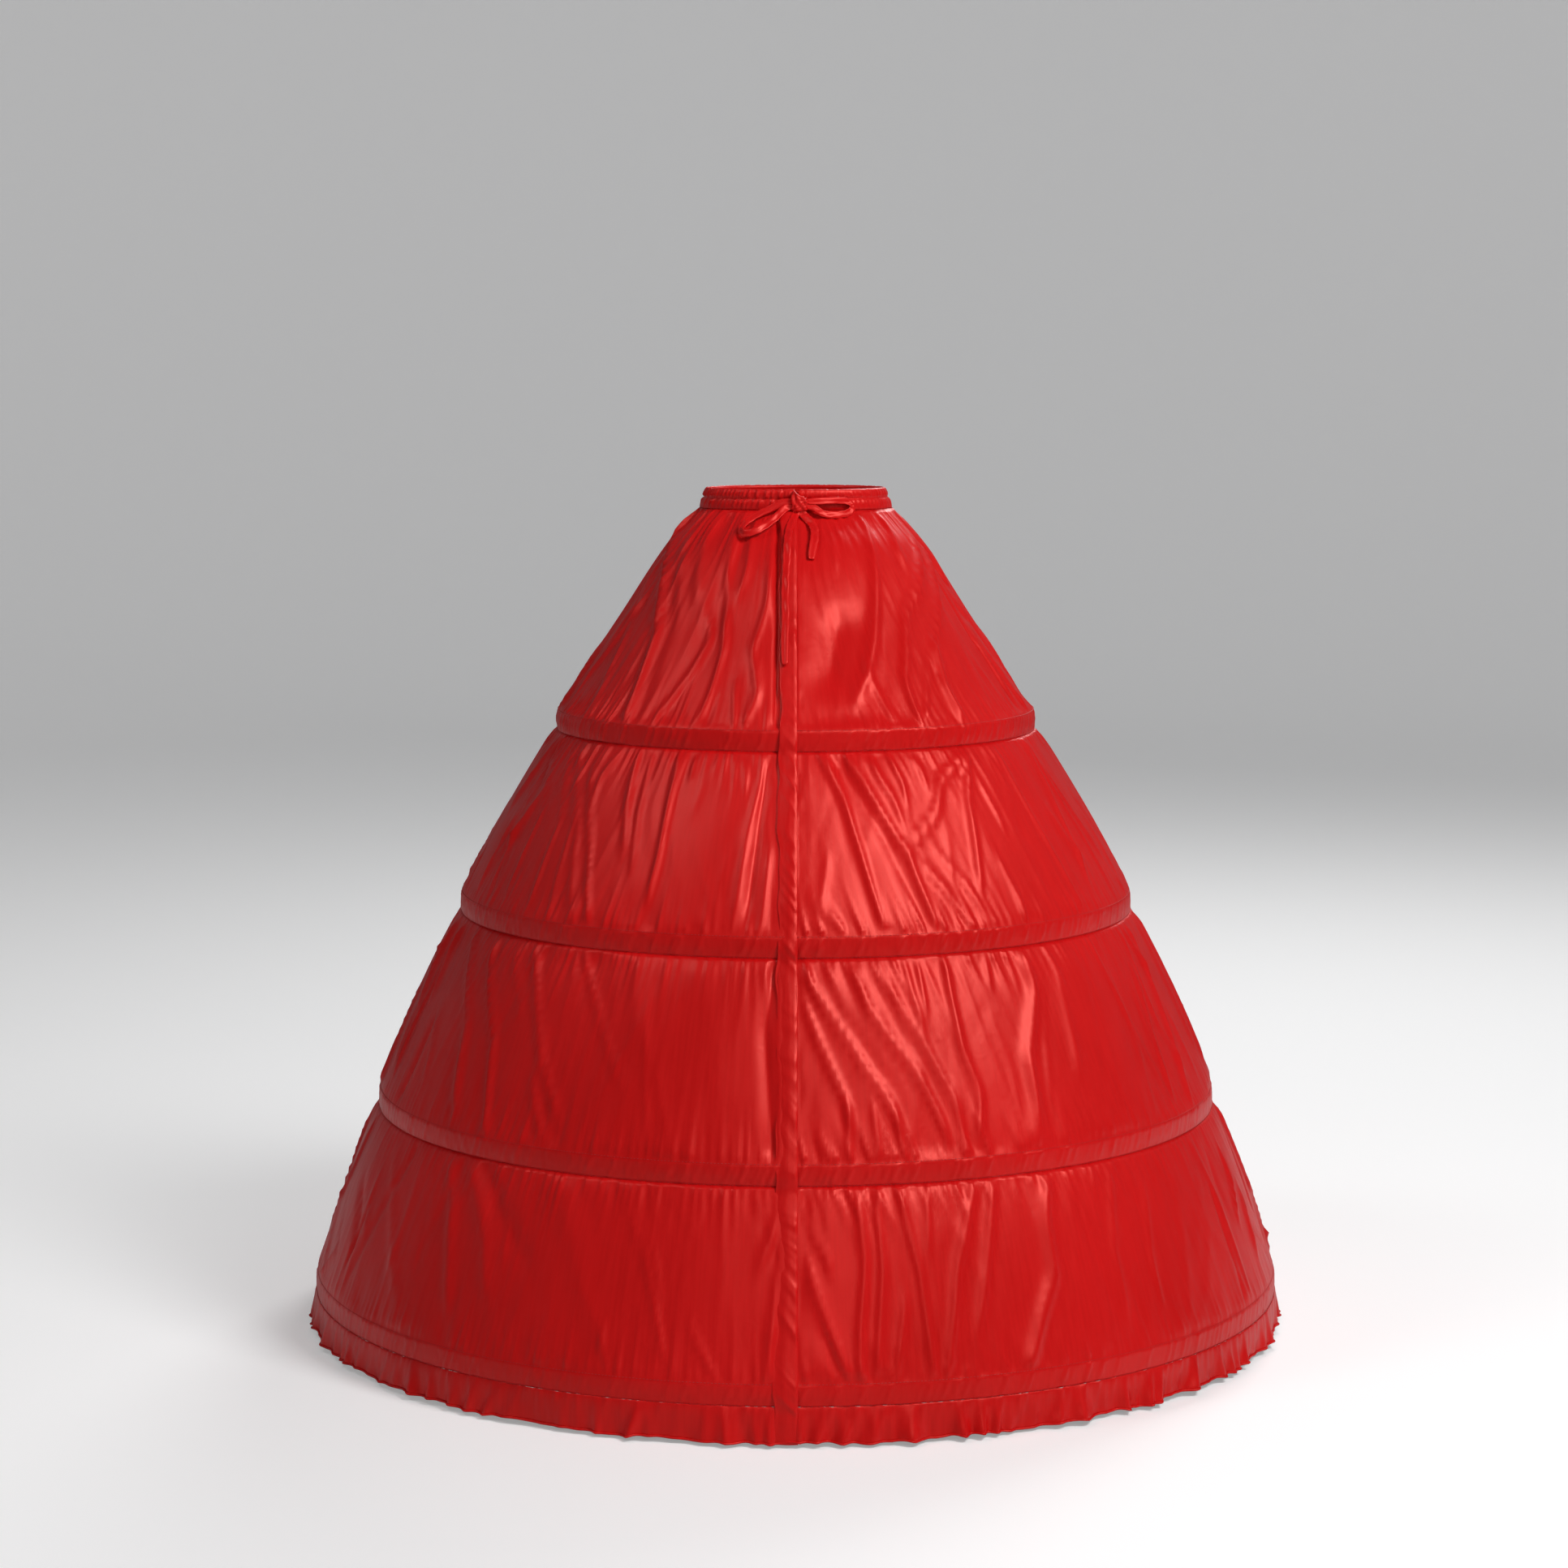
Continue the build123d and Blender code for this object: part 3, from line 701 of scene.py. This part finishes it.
def on_tier(number, angle, drop):
    """Place on a tier's outer face at this angle (degrees) and drop (mm), in metres."""
    deep, wide = skirt_form(number, drop)
    start = TIER_START[number]
    end = HOOP_DROP[number] - STITCHES_ABOVE
    fall = np.clip((drop - start) / (end - start), 0, 1)
    radius = (deep + wide) / 2
    turn = np.radians(angle)
    over = drop > end
    hold = smooth_step((drop - start) / 16) * smooth_step((end - drop) / 14)
    out = FOLD_DEPTH * fold_height(tier_folds[number], angle, fall, radius) * hold
    random = np.random.default_rng(tier_waves[number])
    out += slow_waves(angle, fall, random, 1.1) * hold
    lean = lean_of(angle)
    row = puckers_above[number]
    strength = np.interp(angle, PULL_ANGLES, PULL[number])
    near = 0.28 + 0.72 * np.exp(-(np.minimum(drop - start, end - drop).clip(0) / 45) ** 2)
    arc = turn * row.radius - lean * (drop - start) * 0.8
    out += wrinkles(50 + number, arc, fall, row.round, 21, 2) * 2.0 * strength * near * hold
    out += wrinkles(60 + number, arc, fall, row.round, 10, 4) * 0.6 * strength * near * hold
    below_top = np.maximum(drop - start, 0)
    out += puckers_below[number](angle, below_top, lean) * smooth_step((end - drop) / 30)
    above_end = np.maximum(end - drop, 0)
    out += np.where(over, 0, row(angle, above_end, -lean))
    on_channel = np.clip((drop - end) / (STITCHES_ABOVE + STITCHES_BELOW), 0, 1)
    ripple = row.at(angle, 0.4 * (drop - end))
    rise = 0.62 * np.sin(np.pi * on_channel) ** 0.7
    shift = np.where(on_channel > 0.5, 3, 0) + 0.2 * (drop - end)
    gathers = channel_gathers[number].at(angle, shift)
    at_rows = np.abs(2 * on_channel - 1) ** 1.5 * smooth_step(8 * on_channel * (1 - on_channel))
    out += np.where(over, np.maximum(rise * ripple + 1.1 * at_rows * gathers, -0.3), 0)
    if number == 0:
        x = wide * np.sin(turn)
        under_tails = smooth_step((x + 24) / 8) * smooth_step((32 - x) / 8)
        under_tails = under_tails * smooth_step((95 - drop) / 15)
        out = out * (1 - 0.8 * under_tails) - 1.5 * under_tails
    relief, kept = beside_seam(wide * np.sin(turn), drop)
    beside_back = np.abs(angle) < 60
    out = np.where(beside_back, out * kept + np.where(over, 0.3, 1) * relief, out)
    return (
        np.stack([(wide + out) * np.sin(turn), -(deep + out) * np.cos(turn), -drop], axis=-1) * MM
    )


# %% [markdown]
# Each tier is cut as one long strip, wrapped round, sewn shut at the front and
# given the cloth's thickness.
# %% Tiers
COLUMNS = (860, 1060, 1200, 1320)
PANEL_ROWS = (34, 28, 26, 24)
CLOTH = 0.0007
TIER_FLAT = ((1.75, 0.34), (2.6, 0.25), (3.3, 0.26), (3.9, 0.24))


def finish_cloth(piece, solids, flat):
    """Gives a piece its cloth and its body, hides the solids it stands for and prints its area
    against its cut size.
    """
    piece.data.materials.append(red_satin)
    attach(piece, "root")
    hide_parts(*solids)
    places = np.array([v.co for v in piece.data.vertices])
    area = sum(face.area for face in piece.data.polygons) / 2
    share = area / (flat[0] * flat[1])
    print(piece.name, "area", round(area, 3), "flat", flat, "share", round(share, 2))
    print("  box", (places.min(0) * 1000).round(1), (places.max(0) * 1000).round(1))


for number in range(4):
    drops = rows_of(number, PANEL_ROWS[number])
    tier, across, down = flat_cloth(
        f"tier_{number + 1}_cloth", COLUMNS[number], len(drops) - 1, *TIER_FLAT[number]
    )
    drop = np.interp(down, np.linspace(0, 1, len(drops)), drops)
    put(tier, on_tier(number, 360 * across - 180, drop))
    sew_shut(tier)
    give_thickness(tier, CLOTH)
    widths = [
        f"tier_{number + 1}_{side}"
        for side in ("back_right", "front_right", "front_left", "back_left")
    ]
    finish_cloth(tier, widths, TIER_FLAT[number])

# %% [markdown]
# The ruffle hangs from the stitches under the lowest hoop. Its gathers open
# into flutes at the hem, which are low on the left and fall into pointed folds
# on the right, and its edge is rolled.
# %% Hem ruffle
RUFFLE_COLUMNS = 1260
RUFFLE_FLAT = (4.3, 0.048)
RUFFLE_WALL = 0.0005
ROLL = 1.3

flutes_wide = Puckers(
    41, 588, (1, 1, 0.6, 0.7, 0.9, 1.0, 1.4, 1.5, 1.3, 0.9, 0.8, 1, 1),
    spacing=(17, 34), height=(7, 15), reach=(30, 40),
)
soft = np.hanning(15)
rounded = np.convolve(np.pad(flutes_wide.height, 7, mode="wrap"), soft / soft.sum(), mode="valid")
flutes_wide.height = rounded
flutes_fine = Puckers(42, 588, PULL[3], spacing=(10, 20), height=(0.8, 3), reach=(20, 40))
ruffle_rows = [0, 1.5, 4, 8, 12, 16.5, 21, 25.5, 30, 34, 37.5]
roll_turns = (0, 60, 120, 180, 250, 320)


def on_ruffle(angle, down):
    """Place on the ruffle's outer face, this far below its stitches in millimetres."""
    share = np.clip(down / 40, 0, 1)
    turn = np.radians(angle)
    radius = 583.6 + 4 * share ** 0.8 + 1.0 * (1 - np.exp(-down / 3))
    slant = 6 * share + 11 * share * np.sin(angle * 0.31)
    wave = flutes_wide.at(angle, slant) * np.clip(share * 1.15, 0, 1) ** 1.2
    wave += flutes_fine.at(angle, -4 * share) * smooth_step(share * 2.2) * (1 - 0.35 * share)
    wave += puckers_above[3].at(angle, 0.4 * 24 + 0.2 * down) * np.exp(-down / 16) * 0.9
    edge = 0.14 * flutes_wide.at(angle, 6) + 0.8 * np.sin(turn * 23 + 1) + 0.6 * np.sin(turn * 41)
    x = radius * np.sin(turn)
    relief, kept = beside_seam(x, RUFFLE_START + down)
    beside_back = np.abs(angle) < 60
    wave = np.where(beside_back, wave * np.maximum(kept, 0.15) + 0.4 * relief, wave)
    radius = radius + wave
    edge += 4 * np.sin(turn) ** 2
    drop = RUFFLE_START + down - np.clip(edge, -2.5, 6) * share ** 2
    return np.stack([radius * np.sin(turn), -radius * np.cos(turn), -drop], axis=-1)


count = len(ruffle_rows) + len(roll_turns)
ruffle, across, down = flat_cloth("hem_ruffle_cloth", RUFFLE_COLUMNS, count - 1, *RUFFLE_FLAT)
angle = 360 * across - 180
row = np.rint(down * (count - 1)).astype(int)
places = on_ruffle(angle, np.interp(row, range(len(ruffle_rows)), ruffle_rows))
edge = on_ruffle(angle, np.full_like(angle, ruffle_rows[-1]))
curl = np.radians(np.interp(row, range(len(ruffle_rows), count), roll_turns))
outward = np.stack([np.sin(np.radians(angle)), -np.cos(np.radians(angle)), 0 * angle], axis=-1)
rolled = (
    edge
    + outward * (ROLL * (1 - np.cos(curl)))[:, None]
    - np.array([0, 0, 1]) * (0.9 + ROLL * np.sin(curl))[:, None]
)
places = np.where((row >= len(ruffle_rows))[:, None], rolled, places)
put(ruffle, places * MM)
sew_shut(ruffle)
give_thickness(ruffle, RUFFLE_WALL)
finish_cloth(ruffle, ["hem_ruffle"], RUFFLE_FLAT)

# %% [markdown]
# Behind each hoop runs a tape, sewn to the tier above the hoop and below it,
# so that the hoop lies in a channel.
# %% Tapes behind the hoops
TAPE_WALL = 0.0006
for number in range(4):
    hoop, at = HOOP_RADIUS[number], HOOP_DROP[number]
    length = round(2 * np.pi * hoop * MM, 2)
    tape, across, down = flat_cloth(f"casing_{number + 1}_tape", 300, 5, length, 0.025)
    turn = 2 * np.pi * across
    drop = at - STITCHES_ABOVE + 0.5 + (STITCHES_ABOVE + STITCHES_BELOW - 1) * down
    radius = hoop - 1.7 - 0.25 * (1 + np.sin(turn * (60 + 9 * number))) * np.sin(np.pi * down)
    put(tape, np.stack([radius * np.sin(turn), -radius * np.cos(turn), -drop], axis=-1) * MM)
    sew_shut(tape)
    give_thickness(tape, TAPE_WALL)
    tier = f"tier_{number + 1}_back_left"
    finish_cloth(tape, [f"casing_{number + 1}"], (length, 0.025))

# %% [markdown]
# The waistband is a strip folded in two. Its ruching is drawn up by the
# stitches along its middle, tight on the left and looser on the right, and it
# stops on each side of the opening, where the drawstring comes out.
# %% Waistband
BAND_COLUMNS = 520
BAND_FLAT = (0.64, 0.055)
BAND_WALL = 0.0006
TUNNEL_FOOT = 11.5
OPENING = 2.6

ruche_pull = (0.8, 0.8, 1.2, 1.4, 1.6, 1.4, 0.8, 0.6, 0.55, 0.5, 0.5, 0.7, 0.8)
ruche = Puckers(43, 96, ruche_pull, spacing=(3.4, 6.4), height=(1.5, 4), reach=(9, 16))
ruche_low = Puckers(44, 96, ruche_pull, spacing=(4, 7), height=(1.5, 3.6), reach=(9, 16))
outer_drops = [0.2, 1.2, 2.6, 4.5, 6.5, 8.5, 10.4, 11.5, 12.6, 14.5, 17, 19.5, 22, 24, 25.5]
outer_bulge = [-0.9, 0, 0.6, 1.0, 1.0, 0.6, -0.1, -1.0, -0.1, 0.7, 0.9, 0.6, 0.1, -0.6, -1.6]
inner_drops = [25.0, 22, 17, 12, 7, 3, 1.0]
band_drops = np.array(outer_drops + inner_drops)
band_insets = np.array([-b for b in outer_bulge] + [3.4, 3.8, 3.8, 3.8, 3.8, 3.6, 2.6])

count = len(band_drops)
band, across, down = flat_cloth("waistband_cloth", BAND_COLUMNS, count, *BAND_FLAT)
row = np.rint(down * count).astype(int) % count
first = np.degrees(np.arcsin((SEAM + OPENING) / 107.5))
last = 360 + np.degrees(np.arcsin((SEAM - OPENING) / 107.5))
angle = first + (last - first) * across
turn = np.radians(angle)
drop, inset = band_drops[row], band_insets[row]
outer = row < len(outer_drops)
seen_angle = (angle + 180) % 360 - 180
pucker = np.where(
    drop < TUNNEL_FOOT,
    ruche(seen_angle, TUNNEL_FOOT - drop, 0.12),
    ruche_low(seen_angle, drop - TUNNEL_FOOT, -0.15),
)
ends = smooth_step((angle - first) / 2) * smooth_step((last - angle) / 2)
lift = np.where(outer, pucker * (0.35 + 0.65 * np.sin(np.pi * np.clip(drop / 25, 0, 1))) * ends, 0)
edge_wave = np.where(outer & (drop < 3), 0.6 * ruche.at(seen_angle), 0)
flare = (drop / 25) ** 1.2
wide, deep = 107.5 + 9 * flare - inset + lift, 85 + 1.5 * flare - inset + lift
put(
    band,
    np.stack([wide * np.sin(turn), -deep * np.cos(turn), -drop + edge_wave.clip(-1, 0)], axis=-1)
    * MM,
)
sew_shut(band)
give_thickness(band, BAND_WALL)
finish_cloth(band, ["waistband"], BAND_FLAT)

# %% [markdown]
# The drawstring lies in the band's tunnel. Its two ends turn out through the
# opening to the knot.
# %% Drawstring in its tunnel
STRING_WALL = 0.001
inside = np.linspace(first, last, 180)
ring = np.stack(
    [104.6 * np.sin(np.radians(inside)), -82.1 * np.cos(np.radians(inside)), 0 * inside], axis=-1
)
way_out = np.array([[0.3, 0, 0], [0.2, -2.5, 0], [0.1, -4.6, 0]])
line = np.concatenate([(ring[:1] + way_out)[::-1], ring, ring[-1:] + way_out * (-1, 1, 1)])
string, along, down = flat_cloth("drawstring_run_tie", len(line) - 1, 6, 0.62, 0.01)
row = np.rint(along * (len(line) - 1)).astype(int)
bulge = 0.5 * np.sin(np.pi * down)
side = np.cross(unit(np.gradient(line, axis=0)), (0, 0, 1))
places = line[row] + side[row] * bulge[:, None]
places[:, 2] = -(2.2 + 8.4 * down)
put(string, places * MM)
sew_shut(string)
give_thickness(string, STRING_WALL)
string.data.materials.append(red_satin)
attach(string, "root")
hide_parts("drawstring_run")

# %% [markdown]
# The placket is stitched down along its right edge, where small puckers run down
# to the left from the stitches. Near the waist it is a rounded belt, and lower
# down its left edge melts into the cloth. It follows every hoop.
# %% Placket
PLACKET_FLAT = (0.029, 1.26)
PLACKET_WALL = 0.0008
every_drop = np.arange(25, HEM_DROP + 0.5, 0.5)
back_depth = np.empty_like(every_drop)
for number in range(4):
    on = every_drop >= TIER_START[number]
    back_depth[on] = skirt_form(number, every_drop[on])[0]
on = every_drop >= RUFFLE_START
back_depth[on] = 584.5 + 4 * ((every_drop[on] - RUFFLE_START) / 40) ** 0.8
slope = np.polyfit(every_drop[500:], back_depth[500:], 1)[0]
half = 16
filled = back_depth.copy()
for shift in range(-half, half + 1):
    moved = np.interp(every_drop + shift * 0.5, every_drop, back_depth) - slope * shift * 0.5
    filled = np.maximum(filled, moved - 0.02 * abs(shift))
smoothed = np.convolve(np.pad(filled, 8, mode="edge"), np.ones(17) / 17, mode="valid")
smoothed = np.maximum(smoothed, filled - 1.2)

placket, across, down = flat_cloth("back_placket_cloth", 22, 400, *PLACKET_FLAT)
drop = 25.5 + (HEM_DROP - 25.5) * down
left = placket_left(drop)
x = left + (SEAM - left) * across
deep = np.interp(drop, every_drop, smoothed)
wide = np.where(drop < 280, deep + np.interp(drop, (25, 60, 162, 270), (30, 18, 7, 0)), deep)
width = SEAM - left
from_left, from_seam = across * width, (1 - across) * width
slant = 0.8 + 0.5 * np.sin(drop / 47 + 2 * np.sin(drop / 110))
pull = placket_row.at(np.degrees((drop + slant * from_seam) / placket_row.radius))
belt = np.interp(drop, (230, 340), (1, 0))
rounding = np.minimum(from_left / (12 - 8 * belt), 1)
lift = 1.4 * belt * np.sqrt(np.clip(1 - (1 - rounding) ** 2, 0, 1))
lift += (1 - belt) * (2.5 * smooth_step(from_left / 15) - 1.2)
lift -= 1.3 * np.exp(-((from_seam / 2) ** 2))
pucker = 0.9 * pull * np.exp(-from_seam / 11) * (1 - np.exp(-from_seam / 1.5))
lift += pucker * smooth_step(from_left / 3)
lift += 0.5 * np.sin(drop / 23 + 1.2 * np.sin(drop / 61)) * smooth_step(from_left / 6)
turn = np.arcsin(x / wide)
put(placket, np.stack([x, -(deep + lift + 0.4) * np.cos(turn), -drop], axis=-1) * MM)
sew_shut(placket)
give_thickness(placket, PLACKET_WALL)
finish_cloth(placket, ["back_placket"], PLACKET_FLAT)

# %% [markdown]
# The knot is one wrap of the tie round the other, pulled tight.
# %% Knot
KNOT_MIDDLE = np.array([4, -92.2, -17])
KNOT_HALF = np.array([10.2, 6.6, 8.8])

bpy.ops.object.select_all(action="DESELECT")
bpy.ops.mesh.primitive_uv_sphere_add(segments=64, ring_count=40, radius=1)
knot = bpy.context.object
knot.name = "drawstring_knot_tie"
knot.data.name = knot.name
ball = np.array([v.co for v in knot.data.vertices])
boxy = np.sign(ball) * np.abs(ball) ** 0.8
boxy /= np.maximum(np.abs(boxy).max(1, keepdims=True), 0.8)
slant = boxy[:, 0] - 0.28 * boxy[:, 2]
wrap = 0.85 * smooth_step((0.5 - np.abs(slant + 0.05)) / 0.14)
groove = -0.5 * np.exp(-(((np.abs(slant + 0.05) - 0.52) / 0.07) ** 2))
creases = 0.5 * np.sin(7 * boxy[:, 0] + 5 * boxy[:, 2]) + 0.3 * np.sin(13 * boxy[:, 2] - 6 * slant)
grown = KNOT_HALF * boxy * 0.9 + unit(ball) * (wrap + groove + creases)[:, None]
strap = np.exp(-(((grown[:, 0] + 5) / 4.2) ** 2)) * smooth_step(boxy[:, 2] * 1.3)
grown += np.stack([-1.5 * strap, 1.5 * strap, 7.5 * strap], axis=-1)
put(knot, (KNOT_MIDDLE + grown) * MM)
bpy.ops.object.shade_smooth()
knot.data.materials.append(red_satin)
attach(knot, "root")
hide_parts("drawstring_knot")
print("knot", len(knot.data.polygons), "faces")

# %% [markdown]
# The rows of stitches are one thread each, which goes over the cloth and under
# it again every 4 mm. There is one row above and one below each hoop.
# %% Stitches
THREAD = 0.32


def running_stitch(name, place, outward):
    """Thread through these places, up on one and down on the next, all in millimetres."""
    lift = np.where(np.arange(len(place)) % 2 == 0, 0.75, -0.7)
    line = place + outward * lift[:, None]
    thread, around, along = flat_cloth(name, 3, len(line) - 1, 0.002, 0.5)
    row = np.rint(along * (len(line) - 1)).astype(int)
    ahead = unit(np.gradient(line, axis=0))
    side = unit(np.cross(ahead, outward))
    up = np.cross(side, ahead)
    turn = 2 * np.pi * around
    put(
        thread,
        (line[row] + THREAD * (side[row] * np.sin(turn)[:, None] + up[row] * np.cos(turn)[:, None]))
        * MM,
    )
    sew_shut(thread)
    thread.data.materials.append(thread_red)
    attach(thread, "root")
    return thread


thread_red = bpy.data.materials.new("thread_red")
thread_red.use_nodes = True
thread_surface = thread_red.node_tree.nodes["Principled BSDF"]
thread_surface.inputs["Base Color"].default_value = (0.5, 0.015, 0.015, 1)
thread_surface.inputs["Roughness"].default_value = 0.55

for number in range(4):
    for side, offset in (("upper", -STITCHES_ABOVE), ("lower", STITCHES_BELOW - 0.3)):
        count = 2 * int(2 * np.pi * HOOP_RADIUS[number] / 4)
        angle = np.linspace(-180, 180, count + 1)
        place = on_tier(number, angle, np.full_like(angle, HOOP_DROP[number] + offset)) / MM
        turn = np.radians(angle)
        outward = np.stack([np.sin(turn), -np.cos(turn), 0 * angle], axis=-1)
        running_stitch(f"stitches_{number + 1}_{side}", place, outward)

# %% [markdown]
# The hoops are strips of white plastic, with their ends held in steel sleeves.
# %% Hoops and sleeves
def plain(name, colour, roughness, metal=0.0):
    material = bpy.data.materials.new(name)
    material.use_nodes = True
    surface = material.node_tree.nodes["Principled BSDF"]
    surface.inputs["Base Color"].default_value = (*colour, 1)
    surface.inputs["Roughness"].default_value = roughness
    surface.inputs["Metallic"].default_value = metal
    return material


white_plastic = plain("white_plastic", (0.8, 0.8, 0.77), 0.4)
steel = plain("steel", (0.6, 0.6, 0.62), 0.3, 1.0)
for number in range(1, 5):
    for node, material in ((f"hoop_{number}", white_plastic), (f"hoop_sleeve_{number}", steel)):
        nodes[node].data.materials.clear()
        nodes[node].data.materials.append(material)
print("hoops and sleeves have their materials")

# %% [markdown]
# The floor is a plain pale sweep just under the hem. It is round and curves up
# far out on every side, so that the petticoat can be looked at from all round.
# Big soft lamps light the satin: the key from the right, a weak one from far to
# the left for the gleams there, a fill near the camera and one for the front.
# %% Floor and light
FLOOR = -(HEM_DROP + 4) * MM

FLOOR_RADIUS = 7.0
BEND_RADIUS = 2.0
sweep, across, down = flat_cloth("floor_sweep", 96, 60, 40, 14)
turn = 2 * np.pi * across
run = down * 14
bend = np.clip((run - FLOOR_RADIUS) / BEND_RADIUS, 0, np.pi / 2)
past_bend = np.maximum(run - FLOOR_RADIUS - BEND_RADIUS * np.pi / 2, 0)
from_middle = np.minimum(run, FLOOR_RADIUS) + BEND_RADIUS * np.sin(bend)
up = FLOOR + BEND_RADIUS * (1 - np.cos(bend)) + past_bend
put(sweep, np.stack([from_middle * np.sin(turn), -from_middle * np.cos(turn), up], axis=-1))
sew_shut(sweep)
pale = bpy.data.materials.new("pale_floor")
pale.use_nodes = True
pale_surface = pale.node_tree.nodes["Principled BSDF"]
pale_surface.inputs["Base Color"].default_value = (0.72, 0.72, 0.72, 1)
pale_surface.inputs["Roughness"].default_value = 0.8
seen_by = pale.node_tree.nodes.new("ShaderNodeLightPath")
glow = pale.node_tree.nodes.new("ShaderNodeMath")
glow.operation = "MULTIPLY"
glow.inputs[1].default_value = 0.3
pale.node_tree.links.new(seen_by.outputs["Is Camera Ray"], glow.inputs[0])
pale_surface.inputs["Emission Color"].default_value = (1, 1, 1, 1)
pale.node_tree.links.new(glow.outputs["Value"], pale_surface.inputs["Emission Strength"])
sweep.data.materials.append(pale)

world = bpy.data.worlds.new("studio")
bpy.context.scene.world = world
world.use_nodes = True
world.node_tree.nodes["Background"].inputs["Color"].default_value = (0.9, 0.92, 1, 1)
world.node_tree.nodes["Background"].inputs["Strength"].default_value = 0.07


def soft_lamp(name, azimuth, height, away, size, power, aim_at=-0.5):
    """Square lamp at this azimuth from the back view, in degrees, aimed at the skirt."""
    turn = np.radians(azimuth)
    spot = np.array([away * np.sin(turn), -away * np.cos(turn), height])
    aim = np.array([0, 0, aim_at]) - spot
    level = np.hypot(aim[0], aim[1])
    bpy.ops.object.light_add(type="AREA", location=spot)
    lamp = bpy.context.object
    lamp.name = name
    lamp.data.shape = "SQUARE"
    lamp.data.size = size
    lamp.data.energy = power
    lamp.rotation_euler = (np.pi / 2 + np.arctan2(aim[2], level), 0, np.arctan2(-aim[0], aim[1]))
    return lamp


soft_lamp("key", 46, 2.3, 3.0, 1.3, 114)
soft_lamp("left", -66, 2.5, 2.6, 0.8, 19, aim_at=-0.1)
soft_lamp("fill", 10, 1.6, 4.4, 1.8, 24)
soft_lamp("front", 158, 2.3, 3.2, 1.3, 70)
bpy.context.scene.view_settings.view_transform = "Standard"
